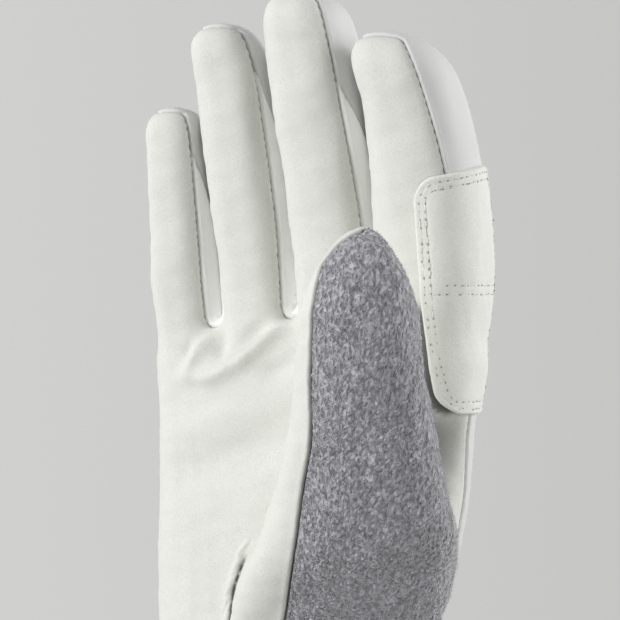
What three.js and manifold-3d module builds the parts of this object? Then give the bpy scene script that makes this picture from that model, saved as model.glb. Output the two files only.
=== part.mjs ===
// Cross-country ski glove for the right hand, at its real size in millimetres.
// +Z runs from the wrist opening to the fingertips, the palm faces -Y, and the thumb is on the +X side.
// The origin is the middle of the wrist opening.

import * as THREE from 'three';
import { mergeVertices } from 'three/addons/utils/BufferGeometryUtils.js';
import Module from 'manifold-3d';

const wasm = await Module();
wasm.setup();

// Cloth and leather sizes.
const WALL = 1.8;
const THUMB_WALL = 2.2;
const PATCH_THICKNESS = 1.2;
const SEAM_GAP = 0.3;
const CUT_TOLERANCE = 0.02;

// The wrist cuff ends at this height, where the hand's panels are sewn to it.
const CUFF_TOP = 46;

// Each form is a column of rounded sections, one row for each height. A section is a superellipse
// of the given power, and a dome of the given height closes the column at its top.
// Seam columns say where the leather front ends on the thumb side (radial) and on the
// little finger's side (ulnar), as a share of the half depth, from -1 at the front to 1 at the back.
const FORM_COLUMNS = ['z', 'x', 'y', 'halfWidth', 'halfDepth'];
const FINGER_COLUMNS = [...FORM_COLUMNS, 'radialSeam', 'ulnarSeam'];
const THUMB_COLUMNS = [...FORM_COLUMNS, 'fleeceEdge'];

const PALM = {
  top: 145, dome: 14, power: 2.5, capPower: 2.4, turn: 0, sides: 24, step: 20,
  rows: table(FORM_COLUMNS, [
    [0, 0, 0, 35, 22.5],
    [45, 0, 0, 33.5, 20],
    [66, -0.4, 0, 37.8, 19],
    [80, 2.1, 0, 40.9, 18.5],
    [95, 4, 0, 42.6, 18],
    [119, 5.6, 0, 43.4, 17.5],
    [145, 7.2, -0.5, 45.2, 15.5],
  ]),
};

const FINGERS = {
  little: {
    top: 199.7, dome: 9, power: 2.5, capPower: 2.5, turn: 0, sides: 16, step: 16,
    rows: table(FINGER_COLUMNS, [
      [102, -27, 0, 6, 9, -0.1, 0],
      [145, -29.9, -1, 8.7, 11.8, -0.66, 0],
      [172, -29.4, -6.5, 8.4, 11, -0.72, -0.1],
      [200, -28.7, -13.5, 7.2, 9.5, -0.76, -0.1],
    ]),
  },
  ring: {
    top: 220.9, dome: 10.5, power: 2.5, capPower: 2.6, turn: 0, sides: 16, step: 16,
    rows: table(FINGER_COLUMNS, [
      [102, -8, 0, 7, 9, -0.6, -0.55],
      [145, -8.3, -1, 10, 12.8, -0.65, -0.55],
      [167, -9.2, -4.4, 10.1, 12.6, -0.57, -0.35],
      [187, -10.5, -8.4, 10.1, 12.1, -0.54, -0.15],
      [204, -11.7, -12.2, 9.6, 11.3, -0.48, -0.15],
      [221, -13.1, -16.5, 8.7, 10.3, -0.5, -0.15],
    ]),
  },
  middle: {
    top: 228.2, dome: 11, power: 2.5, capPower: 2.5, turn: 0, sides: 16, step: 16,
    rows: table(FINGER_COLUMNS, [
      [102, 14, 0, 7, 9, -0.58, -0.5],
      [145, 14.6, -1, 10.9, 14, -0.58, -0.5],
      [168, 14, -4.7, 11.3, 14, -0.58, -0.33],
      [190, 12.9, -9, 11.7, 13.8, -0.71, -0.15],
      [207, 11.9, -13.1, 11.4, 13.3, -0.76, -0.15],
      [229, 10, -18.5, 10.6, 12.6, -0.76, -0.15],
    ]),
  },
  index: {
    top: 217.2, dome: 12.5, power: 2.5, capPower: 2.3, turn: 0, sides: 16, step: 13,
    rows: table(FINGER_COLUMNS, [
      [102, 35, 0, 7, 9, 0, -0.5],
      [130, 37.5, -0.5, 10.5, 13.2, -0.1, -0.5],
      [145, 38.6, -1, 13.1, 15.4, -0.3, -0.5],
      [170, 39.95, -5, 13.55, 15.5, -0.72, -0.2],
      [190, 39.55, -9.5, 13.15, 15, -0.92, -0.15],
      [205, 37.6, -14.5, 12.3, 13.8, -0.99, -0.1],
      [218, 34.3, -20, 11.5, 12, -1, 0],
    ]),
  },
};

// The thumb stands in front of the index finger, turned to face a viewer on the palm's thumb side.
// The fleece starts at fleeceEdge, measured across the thumb from its middle, and runs round
// the thumb side to just behind it.
const THUMB = {
  top: 167, dome: 22, power: 2.4, capPower: 1.8, turn: 25, sides: 22, step: 12,
  rows: table(THUMB_COLUMNS, [
    [46, 6, -2, 18, 11, -16],
    [66, 15.4, -10, 26.4, 15.5, -13.4],
    [78, 21.9, -18, 27, 16.5, -14],
    [90, 29.2, -26, 24.8, 16.6, -15.6],
    [102, 32.3, -32, 21.3, 16, -14.3],
    [117, 35.9, -38.5, 18.4, 15.5, -12.8],
    [132, 37.9, -45, 15.8, 14.5, -12],
    [152, 39.8, -50, 13.8, 13.6, -11.1],
    [160, 40.6, -51, 12.7, 13.1, -12.2],
    [167, 41.9, -52, 12.1, 12.5, -12.3],
  ]),
};
const FLEECE_BACK = 0.15;
const FLEECE_TIP_INSET = 1;

// Fourchettes are the side strips between the fingers. They start just under the crotch,
// reach back to this share of the half depth, and run to a point below the fingertip.
const FOURCHETTE_START = 134;
const FOURCHETTE_BACK = 0.45;
const FOURCHETTE_TAPER = 32;
const FOURCHETTE_END = 12;

// The palm's leather meets the back fabric along its two sides, at these heights and depths.
const PALM_SEAM = table(['z', 'radialY', 'ulnarY'], [
  [CUFF_TOP - 10, 0.5, 0.5],
  [100, 0.5, 0.5],
  [118, 0, 0],
  [FOURCHETTE_START, -2.3, -0.8],
]);

// The reinforcement patch wraps the thumb side of the index finger and of the palm below it.
const PATCH = { bottom: 119.6, top: 184.9, corner: 7, frontTop: 42.8, frontBottom: 44.2, backReach: 0.7 };

const COLOURS = { leather: 0xdcdcd6, fabric: 0xc9cac9, fleece: 0x868589 };
const OUTSIDE = 120;

function table(columns, rows) {
  return rows.map((row) => Object.fromEntries(columns.map((name, i) => [name, row[i]])));
}

// A smooth curve through one column of a table, read at height z.
function valueAt(rows, column, z) {
  const last = rows.length - 1;
  const clamped = Math.min(Math.max(z, rows[0].z), rows[last].z);
  let i = 0;
  while (i < last - 1 && clamped > rows[i + 1].z) i += 1;
  const rise = (k) => (rows[k + 1][column] - rows[k][column]) / (rows[k + 1].z - rows[k].z);
  const slope = (k) => {
    if (k === 0) return rise(0);
    if (k === last) return rise(last - 1);
    const before = rows[k].z - rows[k - 1].z;
    const after = rows[k + 1].z - rows[k].z;
    return (rise(k - 1) * after + rise(k) * before) / (before + after);
  };
  const span = rows[i + 1].z - rows[i].z;
  const t = (clamped - rows[i].z) / span;
  const start = rows[i][column];
  const end = rows[i + 1][column];
  return (2 * t ** 3 - 3 * t ** 2 + 1) * start + (t ** 3 - 2 * t ** 2 + t) * span * slope(i)
    + (-2 * t ** 3 + 3 * t ** 2) * end + (t ** 3 - t ** 2) * span * slope(i + 1);
}

function sectionAt(form, z) {
  const read = (column) => valueAt(form.rows, column, z);
  return { x: read('x'), y: read('y'), a: read('halfWidth'), b: read('halfDepth') };
}

// A point given across (u) and through (v) a form, at height z.
function place(form, section, u, v, z) {
  const turn = THREE.MathUtils.degToRad(form.turn);
  return [
    section.x + u * Math.cos(turn) - v * Math.sin(turn),
    section.y + u * Math.sin(turn) + v * Math.cos(turn),
    z,
  ];
}

// A closed solid through rings of points, from the lowest ring to the highest.
function loft(rings) {
  const sides = rings[0].length;
  const points = rings.flat();
  const faces = [];
  for (let r = 0; r < rings.length - 1; r += 1) {
    for (let s = 0; s < sides; s += 1) {
      const a = r * sides + s;
      const b = r * sides + ((s + 1) % sides);
      faces.push(a, b, b + sides, a, b + sides, a + sides);
    }
  }
  const top = (rings.length - 1) * sides;
  for (let s = 1; s < sides - 1; s += 1) {
    faces.push(0, s + 1, s, top, top + s, top + s + 1);
  }
  const geometry = new THREE.BufferGeometry();
  geometry.setAttribute('position', new THREE.Float32BufferAttribute(points.flat(), 3));
  geometry.setIndex(faces);
  return solidOf(mergeVertices(geometry, 1e-4));
}

function solidOf(geometry) {
  return new wasm.Manifold(new wasm.Mesh({
    numProp: 3,
    vertProperties: new Float32Array(geometry.attributes.position.array),
    triVerts: new Uint32Array(geometry.index.array),
  }));
}

// How far a form's sections have shrunk at a share of its dome's height, from 1 to 0.
function shrinkAt(form, rise) {
  const clamped = THREE.MathUtils.clamp(rise, 0, 1);
  return (1 - clamped ** form.capPower) ** (1 / form.capPower);
}

const domeBase = (form) => form.top - form.dome;

// The heights of a form's rings: even steps up to its dome, then closer ones over the dome.
function ringHeights(form, grow, bottom) {
  const base = domeBase(form);
  const count = Math.ceil((base - bottom) / form.step);
  const rings = [];
  for (let i = 0; i < count; i += 1) {
    rings.push({ z: bottom + (base - bottom) * i / count, shrink: 1 });
  }
  const domeRings = 4;
  for (let i = 0; i <= domeRings; i += 1) {
    const rise = Math.sin(i / domeRings * Math.PI / 2) * 0.998;
    rings.push({ z: base + rise * (form.dome + grow), shrink: shrinkAt(form, rise) });
  }
  return rings;
}

// A form's solid, grown outwards or, with a negative number, inwards.
function formSolid(form, grow = 0, bottom = form.rows[0].z) {
  const rings = ringHeights(form, grow, bottom).map(({ z, shrink }) => {
    const section = sectionAt(form, z);
    const ring = [];
    for (let s = 0; s < form.sides; s += 1) {
      const angle = 2 * Math.PI * (s + 0.5) / form.sides;
      const round = (value) => Math.sign(value) * Math.abs(value) ** (2 / form.power);
      const u = (section.a + grow) * shrink * round(Math.cos(angle));
      const v = (section.b + grow) * shrink * round(Math.sin(angle));
      ring.push(place(form, section, u, v, z));
    }
    return ring;
  });
  return loft(rings);
}

// A block between two heights, used as a cutter.
function slab(low, high) {
  const corners = [[-OUTSIDE, -OUTSIDE], [OUTSIDE, -OUTSIDE], [OUTSIDE, OUTSIDE], [-OUTSIDE, OUTSIDE]];
  return loft([low, high].map((z) => corners.map(([x, y]) => [x, y, z])));
}

function unite(solids) {
  return solids.reduce((whole, solid) => whole.add(solid));
}

const fingerNames = Object.keys(FINGERS);
const fingerForms = Object.values(FINGERS);

// The plane halfway between two neighbouring fingers, at height z.
function borderX(index, z) {
  if (index < 0) return -OUTSIDE;
  if (index >= fingerForms.length - 1) return OUTSIDE;
  const left = sectionAt(fingerForms[index], z);
  const right = sectionAt(fingerForms[index + 1], z);
  return (left.x + left.a + right.x - right.a) / 2;
}

// The depth of a finger's front seam at a place across it. It slants from one side to the other,
// and on the dome it runs over the fingertip.
function frontSeamY(form, x, z) {
  const section = sectionAt(form, z);
  const radial = valueAt(form.rows, 'radialSeam', z);
  const ulnar = valueAt(form.rows, 'ulnarSeam', z);
  const across = THREE.MathUtils.clamp((x - section.x) / section.a, -1, 1);
  const depth = section.b * shrinkAt(form, (z - domeBase(form)) / form.dome);
  return section.y + depth * ((radial + ulnar) / 2 + (radial - ulnar) / 2 * across);
}

// The depth of a fourchette's back seam, which meets the front seam at the strip's point.
function backSeamY(form, x, z) {
  const section = sectionAt(form, z);
  const front = frontSeamY(form, x, z);
  const taper = THREE.MathUtils.clamp((form.top - FOURCHETTE_END - z) / FOURCHETTE_TAPER, 0, 1);
  return front + taper * (section.y + FOURCHETTE_BACK * section.b - front);
}

const SEAM_STEPS = 5;

function seamHeights(low, high) {
  return Array.from({ length: SEAM_STEPS + 1 }, (_, i) => low + (high - low) * i / SEAM_STEPS);
}

// A cutter grown by offset also reaches this far over its borders with the cutters beside it,
// so that two panels never touch face to face there.
const overBorder = (offset) => Math.max(0, 2 * offset);

// Everything in front of a finger's front seam, moved back by offset.
function fingerFront(index, offset) {
  const form = fingerForms[index];
  const reach = overBorder(offset);
  const base = domeBase(form);
  const heights = [...seamHeights(FOURCHETTE_START - reach, base), form.top, form.top + 4];
  for (const share of [0.9, 0.6]) heights.splice(SEAM_STEPS + 1, 0, base + share * form.dome);
  const rings = heights.map((z) => {
    const section = sectionAt(form, z);
    const left = Math.max(borderX(index - 1, z), section.x - 2 * section.a) - reach;
    const right = Math.min(borderX(index, z), section.x + 2 * section.a) + reach;
    return [
      [left, -OUTSIDE, z],
      [right, -OUTSIDE, z],
      [right, frontSeamY(form, right, z) + offset, z],
      [section.x, frontSeamY(form, section.x, z) + offset, z],
      [left, frontSeamY(form, left, z) + offset, z],
    ];
  });
  return loft(rings);
}

// The side strip of one finger, on its radial (1) or ulnar (-1) side, thicker by twice the offset.
function fingerSide(index, side, offset) {
  const form = fingerForms[index];
  const reach = overBorder(offset);
  const end = form.top - FOURCHETTE_END - FOURCHETTE_TAPER * 0.12;
  const rings = seamHeights(FOURCHETTE_START - offset, end + offset).map((z) => {
    const middle = sectionAt(form, z).x;
    const edge = borderX(side > 0 ? index : index - 1, z) + side * reach;
    const left = Math.min(middle, edge);
    const right = Math.max(middle, edge);
    return [
      [left, frontSeamY(form, left, z) - offset, z],
      [right, frontSeamY(form, right, z) - offset, z],
      [right, backSeamY(form, right, z) + offset, z],
      [left, backSeamY(form, left, z) + offset, z],
    ];
  });
  return loft(rings);
}

function fourchetteRegion(index, offset) {
  return fingerSide(index, 1, offset).add(fingerSide(index + 1, -1, offset));
}

// Everything in front of the palm's side seams, moved back by offset.
function palmFront(offset) {
  const last = PALM_SEAM[PALM_SEAM.length - 1];
  const rows = [...PALM_SEAM, { ...last, z: last.z + SEAM_GAP + overBorder(offset) }];
  return loft(rows.map((row) => [
    [-OUTSIDE, -OUTSIDE, row.z],
    [OUTSIDE, -OUTSIDE, row.z],
    [OUTSIDE, row.radialY + offset, row.z],
    [-OUTSIDE, row.ulnarY + offset, row.z],
  ]));
}

function leatherRegion(offset) {
  return unite([palmFront(offset), ...fingerForms.map((_, index) => fingerFront(index, offset))]);
}

// The space of the fleece on the thumb, grown by offset on its seams.
function fleeceRegion(offset) {
  const base = domeBase(THUMB);
  const dome = THUMB.dome - FLEECE_TIP_INSET;
  const heights = [...seamHeights(CUFF_TOP - 10, base)];
  for (const share of [0.35, 0.6, 0.8, 0.93]) heights.push(base + share * dome);
  const rings = heights.map((z) => {
    const section = sectionAt(THUMB, z);
    const shrink = shrinkAt(THUMB, (z - base) / dome);
    const edge = valueAt(THUMB.rows, 'fleeceEdge', z) * shrink - offset;
    const back = section.b * FLEECE_BACK * shrink + offset;
    return [
      place(THUMB, section, edge, -OUTSIDE, z),
      place(THUMB, section, OUTSIDE, -OUTSIDE, z),
      place(THUMB, section, OUTSIDE, back, z),
      place(THUMB, section, edge, back, z),
    ];
  });
  return loft(rings);
}

// The patch's outline seen from the front, with two round corners, run through to its back edge.
function patchRegion() {
  const { bottom, top, corner, frontTop, frontBottom, backReach } = PATCH;
  const outline = new THREE.Shape();
  outline.moveTo(OUTSIDE, bottom);
  outline.lineTo(frontBottom + corner, bottom);
  outline.quadraticCurveTo(frontBottom, bottom, frontBottom, bottom + corner);
  outline.lineTo(frontTop, top - corner);
  outline.quadraticCurveTo(frontTop, top, frontTop + corner, top);
  outline.lineTo(OUTSIDE, top);
  outline.closePath();
  const middle = sectionAt(FINGERS.index, (bottom + top) / 2);
  const backY = middle.y + backReach * middle.b;
  const geometry = new THREE.ExtrudeGeometry(outline, {
    depth: backY + OUTSIDE, bevelEnabled: false, curveSegments: 5,
  });
  geometry.rotateX(Math.PI / 2);
  geometry.translate(0, backY, 0);
  geometry.deleteAttribute('normal');
  geometry.deleteAttribute('uv');
  return solidOf(mergeVertices(geometry, 1e-4));
}

// The largest connected piece of a cut solid, without the crumbs and slivers that a cut can leave.
function mainPiece(solid) {
  const clean = solid.asOriginal().simplify(CUT_TOLERANCE);
  return clean.decompose().reduce((best, next) => (next.volume() > best.volume() ? next : best));
}

function meshOf(name, solid, colour, roughness) {
  const { numProp, vertProperties, triVerts } = mainPiece(solid).getMesh();
  const points = [];
  for (let i = 0; i < vertProperties.length; i += numProp) {
    points.push(vertProperties[i], vertProperties[i + 1], vertProperties[i + 2]);
  }
  const geometry = new THREE.BufferGeometry();
  geometry.setAttribute('position', new THREE.Float32BufferAttribute(points, 3));
  geometry.setIndex(Array.from(triVerts));
  geometry.computeVertexNormals();
  const material = new THREE.MeshStandardMaterial({ color: colour, roughness, metalness: 0 });
  const mesh = new THREE.Mesh(geometry, material);
  mesh.name = name;
  return mesh;
}

const half = SEAM_GAP / 2;
const thumbSolid = formSolid(THUMB);
const outside = unite([formSolid(PALM), ...fingerForms.map((form) => formSolid(form)), thumbSolid]);
const inside = unite([
  formSolid(PALM, -WALL, -5),
  ...fingerForms.map((form) => formSolid(form, -WALL)),
  formSolid(THUMB, -THUMB_WALL),
]);
const shell = outside.subtract(inside);
const hand = shell.intersect(slab(CUFF_TOP + half, 2 * OUTSIDE));
const handWithoutThumb = hand.subtract(formSolid(THUMB, SEAM_GAP));
const thumbShell = hand.intersect(thumbSolid);

const gaps = [0, 1, 2];
const fourchettes = gaps.map((index) => fourchetteRegion(index, -half));
const fourchetteCutters = unite(gaps.map((index) => fourchetteRegion(index, half)));

const grownOutside = (grow) => unite([PALM, ...fingerForms, THUMB].map((form) => formSolid(form, grow)));
const patchShell = formSolid(PALM, SEAM_GAP + PATCH_THICKNESS)
  .add(formSolid(FINGERS.index, SEAM_GAP + PATCH_THICKNESS))
  .subtract(grownOutside(SEAM_GAP));

const glove = new THREE.Group();
glove.add(
  meshOf('palm_leather', handWithoutThumb.intersect(leatherRegion(-half)).subtract(fourchetteCutters),
    COLOURS.leather, 0.75),
  meshOf('back_fabric', handWithoutThumb.subtract(leatherRegion(half)).subtract(fourchetteCutters),
    COLOURS.fabric, 0.8),
  meshOf('thumb_leather', thumbShell.subtract(fleeceRegion(half)), COLOURS.leather, 0.75),
  meshOf('thumb_fleece', thumbShell.intersect(fleeceRegion(-half)), COLOURS.fleece, 0.95),
  meshOf('index_patch', patchShell.intersect(patchRegion()), COLOURS.leather, 0.75),
  meshOf('wrist_cuff', shell.intersect(slab(0, CUFF_TOP - half)), COLOURS.fabric, 0.8),
);
for (const index of gaps) {
  const name = `fourchette_${fingerNames[index]}_${fingerNames[index + 1]}`;
  glove.add(meshOf(name, handWithoutThumb.intersect(fourchettes[index]), COLOURS.fabric, 0.8));
}

export default glove;
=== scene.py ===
# The looks of a right-hand cross-country ski glove: white leather palm, white fabric back,
# grey fleece on the thumb and a stitched leather patch round the index finger.
# The panels are cut from one smooth surface, which is worked out from the same section tables
# as the glove's solids. Sizes are in millimetres until a mesh is made.

import math

import bpy
import numpy as np
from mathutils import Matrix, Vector
from mathutils.kdtree import KDTree


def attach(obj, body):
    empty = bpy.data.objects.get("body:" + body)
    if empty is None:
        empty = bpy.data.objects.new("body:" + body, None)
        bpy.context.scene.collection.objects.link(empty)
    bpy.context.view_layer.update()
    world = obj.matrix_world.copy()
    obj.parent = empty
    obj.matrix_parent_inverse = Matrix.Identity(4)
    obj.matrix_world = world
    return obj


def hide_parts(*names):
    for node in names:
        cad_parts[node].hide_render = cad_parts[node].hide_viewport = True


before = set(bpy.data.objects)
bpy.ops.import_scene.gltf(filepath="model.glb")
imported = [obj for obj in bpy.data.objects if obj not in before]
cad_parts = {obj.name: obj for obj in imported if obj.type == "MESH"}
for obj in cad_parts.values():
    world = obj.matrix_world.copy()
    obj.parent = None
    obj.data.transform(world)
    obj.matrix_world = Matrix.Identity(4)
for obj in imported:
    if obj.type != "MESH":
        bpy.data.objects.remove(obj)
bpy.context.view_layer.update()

MM = 0.001
PHOTO_TURN = math.radians(25)
ASIDE = np.array([math.cos(PHOTO_TURN), math.sin(PHOTO_TURN), 0.0])
SIGHT = np.array([-math.sin(PHOTO_TURN), math.cos(PHOTO_TURN), 0.0])
CUFF_TOP = 46.0

# The grid's pitch, how near a cut a point counts as lying on it, and how thick the panels are.
GRID = 1.0
SNAP = 0.06
WALL = 1.2

# Columns of the section tables.
Z, X, Y, HALF_WIDTH, HALF_DEPTH, RADIAL, ULNAR = range(7)
FLEECE_EDGE = RADIAL


def form(top, dome, cap_power, rows, power=2.5, turn=0.0):
    return {"top": top, "dome": dome, "cap_power": cap_power, "power": power,
            "turn": math.radians(turn), "rows": np.array(rows, float)}


# z, x, y, half width, half depth
PALM = form(145, 14, 2.4, [
    (-6, 0, 0, 35, 22.5),
    (0, 0, 0, 35, 22.5),
    (45, 0, 0, 33.5, 20),
    (66, -0.4, 0, 37.8, 19),
    (80, 2.1, 0, 40.9, 18.5),
    (95, 4, 0, 42.6, 18),
    (119, 5.6, 0, 43.4, 17.5),
    (145, 7.2, -0.5, 45.2, 15.5)])

# z, x, y, half width, half depth, and where the leather front ends on the thumb side and on the
# little finger's side, as shares of the half depth
LITTLE = form(199.7, 9, 2.5, [
    (102, -27, 0, 6, 9, -0.1, 0),
    (145, -29.9, -1, 8.7, 11.8, -0.66, 0),
    (172, -29.4, -6.5, 8.4, 11, -0.72, -0.1),
    (200, -28.7, -13.5, 7.2, 9.5, -0.76, -0.1)])
RING = form(220.9, 10.5, 2.6, [
    (102, -8, 0, 7, 9, -0.6, -0.55),
    (145, -8.3, -1, 10, 12.8, -0.65, -0.55),
    (167, -9.2, -4.4, 10.1, 12.6, -0.57, -0.35),
    (187, -10.5, -8.4, 10.1, 12.1, -0.54, -0.15),
    (204, -11.7, -12.2, 9.6, 11.3, -0.48, -0.15),
    (221, -13.1, -16.5, 8.7, 10.3, -0.5, -0.15)])
MIDDLE = form(228.2, 11, 2.5, [
    (102, 14, 0, 7, 9, -0.58, -0.5),
    (145, 14.6, -1, 10.9, 14, -0.58, -0.5),
    (168, 14, -4.7, 11.3, 14, -0.58, -0.33),
    (190, 12.9, -9, 11.7, 13.8, -0.71, -0.15),
    (207, 11.9, -13.1, 11.4, 13.3, -0.76, -0.15),
    (229, 10, -18.5, 10.6, 12.6, -0.76, -0.15)])
INDEX = form(217.2, 12.5, 2.3, [
    (102, 35, 0, 7, 9, 0, -0.5),
    (130, 37.5, -0.5, 10.5, 13.2, -0.1, -0.5),
    (145, 38.6, -1, 13.1, 15.4, -0.3, -0.5),
    (170, 39.95, -5, 13.55, 15.5, -0.72, -0.2),
    (190, 39.55, -9.5, 13.15, 15, -0.92, -0.15),
    (205, 37.6, -14.5, 12.3, 13.8, -0.99, -0.1),
    (218, 34.3, -20, 11.5, 12, -1, 0)])
FINGERS = [LITTLE, RING, MIDDLE, INDEX]

# z, x, y, half width, half depth, and the fleece's left edge across the thumb
THUMB = form(167, 22, 1.8, [
    (46, 6, -2, 18, 11, -16),
    (66, 15.4, -10, 26.4, 15.5, -13.4),
    (78, 21.9, -18, 27, 16.5, -14),
    (90, 29.2, -26, 24.8, 16.6, -15.6),
    (102, 32.3, -32, 21.3, 16, -14.3),
    (117, 35.9, -38.5, 18.4, 15.5, -12.8),
    (132, 37.9, -45, 15.8, 14.5, -12),
    (152, 39.8, -50, 13.8, 13.6, -11.1),
    (160, 40.6, -51, 12.7, 13.1, -12.2),
    (167, 41.9, -52, 12.1, 12.5, -12.3)], power=2.4, turn=25)

FOURCHETTE_BACK = 0.45
FOURCHETTE_TAPER = 32.0
FOURCHETTE_END = 12.0
TIP_SEAM = 0.2
FLEECE_BACK = 0.15
FLEECE_TIP_INSET = 1.0

# How softly the forms run into each other, in millimetres. Between the fingers it changes with
# height, and is given as heights and the softness there.
PALM_BLEND = 5.0
FINGER_BLEND = ((148.0, 186.0), (4.2, 0.9))
THUMB_BLEND = 3.5

# The line where the palm's leather is folded over the thumb piece: heights, and places across
# when the glove is seen as in the photo.
THUMB_LINE = {"rows": np.array([
    (52.0, -16.0), (60.0, -17.4), (68.8, -17.1), (75.9, -16.1), (79.5, -14.9), (83.1, -13.6), (88.0, -11.5)])}
LINE_LOW = 52.0
LINE_TOP = 89.0
CREASE_TOP = 84.5
FAR_FROM_LINE = 50.0

# The patch round the index finger: its front edge, its heights there and at its far end, and the
# length between them. Its stitches stand in rows along the edge and in two rows across.
PATCH_FRONT = ((184.9, 42.4), (150.0, 42.3), (132.0, 43.2), (119.6, 44.6))
PATCH_TOP = (179.6, 184.6)
PATCH_BOTTOM = (120.6, 120.0)
PATCH_LENGTH = 38.0
PATCH_CORNER = 6.0
PATCH_BACK = 0.7
PATCH_HEIGHT = 1.0
PATCH_ROWS = (1.6, 3.4)
PATCH_CROSS = (151.1, 153.3)
STITCH_PITCH = 2.1


def read(shape, column, z):
    """A smooth curve through one column of a form's table, read at the heights z."""
    rows = shape["rows"]
    at = rows[:, Z]
    values = rows[:, column]
    step = np.diff(at)
    rise = np.diff(values) / step
    slope = np.concatenate([rise[:1], (rise[:-1] * step[1:] + rise[1:] * step[:-1])
                            / (step[:-1] + step[1:]), rise[-1:]])
    z = np.clip(z, at[0], at[-1])
    i = np.clip(np.searchsorted(at, z) - 1, 0, len(step) - 1)
    t = (z - at[i]) / step[i]
    return ((2 * t ** 3 - 3 * t ** 2 + 1) * values[i] + (t ** 3 - 2 * t ** 2 + t) * step[i] * slope[i]
            + (-2 * t ** 3 + 3 * t ** 2) * values[i + 1] + (t ** 3 - t ** 2) * step[i] * slope[i + 1])


def shrink_at(shape, z, inset=0.0):
    """How far a form's sections have shrunk on its dome, from 1 at the dome's base to 0."""
    rise = np.clip((z - shape["top"] + shape["dome"]) / (shape["dome"] - inset), 0, 1)
    power = shape["cap_power"]
    return (1 - rise ** power) ** (1 / power)


def ramp(value):
    """A smooth step from 0 to 1."""
    value = np.clip(value, 0, 1)
    return value * value * (3 - 2 * value)


def bell(value, width):
    """1 where a value is 0, and nearly 0 from twice the width on."""
    return np.exp(-(value / width) ** 2)


def local(shape, x, y, z):
    """Places across (u) and through (v) a form, and its half width and half depth there."""
    dx = x - read(shape, X, z)
    dy = y - read(shape, Y, z)
    cos, sin = math.cos(shape["turn"]), math.sin(shape["turn"])
    return dx * cos + dy * sin, dy * cos - dx * sin, read(shape, HALF_WIDTH, z), read(shape, HALF_DEPTH, z)


def field(shape, x, y, z):
    """About how far a place lies outside a form, negative inside it."""
    u, v, a, b = local(shape, x, y, z)
    n, k = shape["power"], shape["cap_power"]
    u = np.abs(u / a) + 1e-9
    v = np.abs(v / b) + 1e-9
    flat = (u ** n + v ** n) ** (1 / n)
    flat_slope = flat ** (1 - n) * np.hypot(u ** (n - 1) / a, v ** (n - 1) / b)
    rise = np.maximum(0, (z - shape["top"] + shape["dome"]) / shape["dome"])
    whole = (flat ** k + rise ** k) ** (1 / k)
    slope = np.hypot((flat / whole) ** (k - 1) * flat_slope, (rise / whole) ** (k - 1) / shape["dome"])
    side = (whole - 1) / np.maximum(slope, 0.5 / np.maximum(a, b))
    return np.maximum(side, shape["rows"][0, Z] - z)


def blend(a, b, soft):
    """The smaller of two values, rounded off where they are alike: the union of two forms."""
    h = np.clip(0.5 + 0.5 * (b - a) / soft, 0, 1)
    return b * (1 - h) + a * h - soft * h * (1 - h)


def hand_field(x, y, z):
    fingers = field(FINGERS[0], x, y, z)
    soft = np.interp(z, *FINGER_BLEND)
    for finger in FINGERS[1:]:
        fingers = blend(fingers, field(finger, x, y, z), soft)
    return blend(field(PALM, x, y, z), fingers, PALM_BLEND)


def glove_field(x, y, z):
    return blend(hand_field(x, y, z), field(THUMB, x, y, z), THUMB_BLEND)


# Surfaces


def surface_net(low, high, pitch, value):
    """Points and triangles of the surface where value is zero, on a grid of the given pitch."""
    counts = np.ceil((np.array(high) - low) / pitch).astype(int) + 1
    axes = [low[i] + pitch * np.arange(counts[i]) for i in range(3)]
    gx, gy = np.meshgrid(axes[0], axes[1], indexing="ij")
    grid = np.stack([value(gx, gy, z) for z in axes[2]], axis=2)
    inside = grid < 0
    cells, places, quads, turned = [], [], [], []
    size = np.array(grid.shape)
    for axis in range(3):
        ahead = np.zeros(3, int)
        ahead[axis] = 1
        lower = tuple(slice(0, size[i] - ahead[i]) for i in range(3))
        upper = tuple(slice(ahead[i], size[i]) for i in range(3))
        start = np.argwhere(inside[lower] != inside[upper])
        others = [i for i in range(3) if i != axis]
        start = start[np.all((start[:, others] > 0) & (start[:, others] < size[others] - 1), axis=1)]
        first = grid[tuple(start.T)]
        second = grid[tuple((start + ahead).T)]
        place = start + ahead * (first / (first - second))[:, None]
        corners = []
        for down in ((1, 1), (0, 1), (0, 0), (1, 0)):
            cell = start.copy()
            cell[:, others[0]] -= down[0]
            cell[:, others[1]] -= down[1]
            corners.append(np.ravel_multi_index(tuple(cell.T), grid.shape))
            cells.append(corners[-1])
            places.append(place)
        quads.append(np.stack(corners, axis=1))
        turned.append((first < 0) == (axis != 1))
    names, owner = np.unique(np.concatenate(cells), return_inverse=True)
    total = np.zeros((len(names), 3))
    np.add.at(total, owner, np.concatenate(places))
    points = total / np.bincount(owner)[:, None] * pitch + low
    quads = np.searchsorted(names, np.concatenate(quads))
    turned = np.concatenate(turned)
    quads[~turned] = quads[~turned][:, ::-1]
    return points, np.concatenate([quads[:, [0, 1, 2]], quads[:, [0, 2, 3]]])


def gradient(value, points, step=0.1):
    x, y, z = points.T
    return np.stack([value(x + step, y, z) - value(x - step, y, z),
                     value(x, y + step, z) - value(x, y - step, z),
                     value(x, y, z + step) - value(x, y, z - step)], axis=1) / (2 * step)


def settle(value, points, rounds=2):
    """Moves points onto the surface where value is zero."""
    for _ in range(rounds):
        slope = gradient(value, points)
        size = np.maximum((slope ** 2).sum(axis=1), 0.05)
        move = slope * (value(*points.T) / size)[:, None]
        points = points - np.clip(move, -GRID, GRID)
    return points


def edges_of(faces):
    return np.concatenate([faces[:, [0, 1]], faces[:, [1, 2]], faces[:, [2, 0]]])


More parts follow.
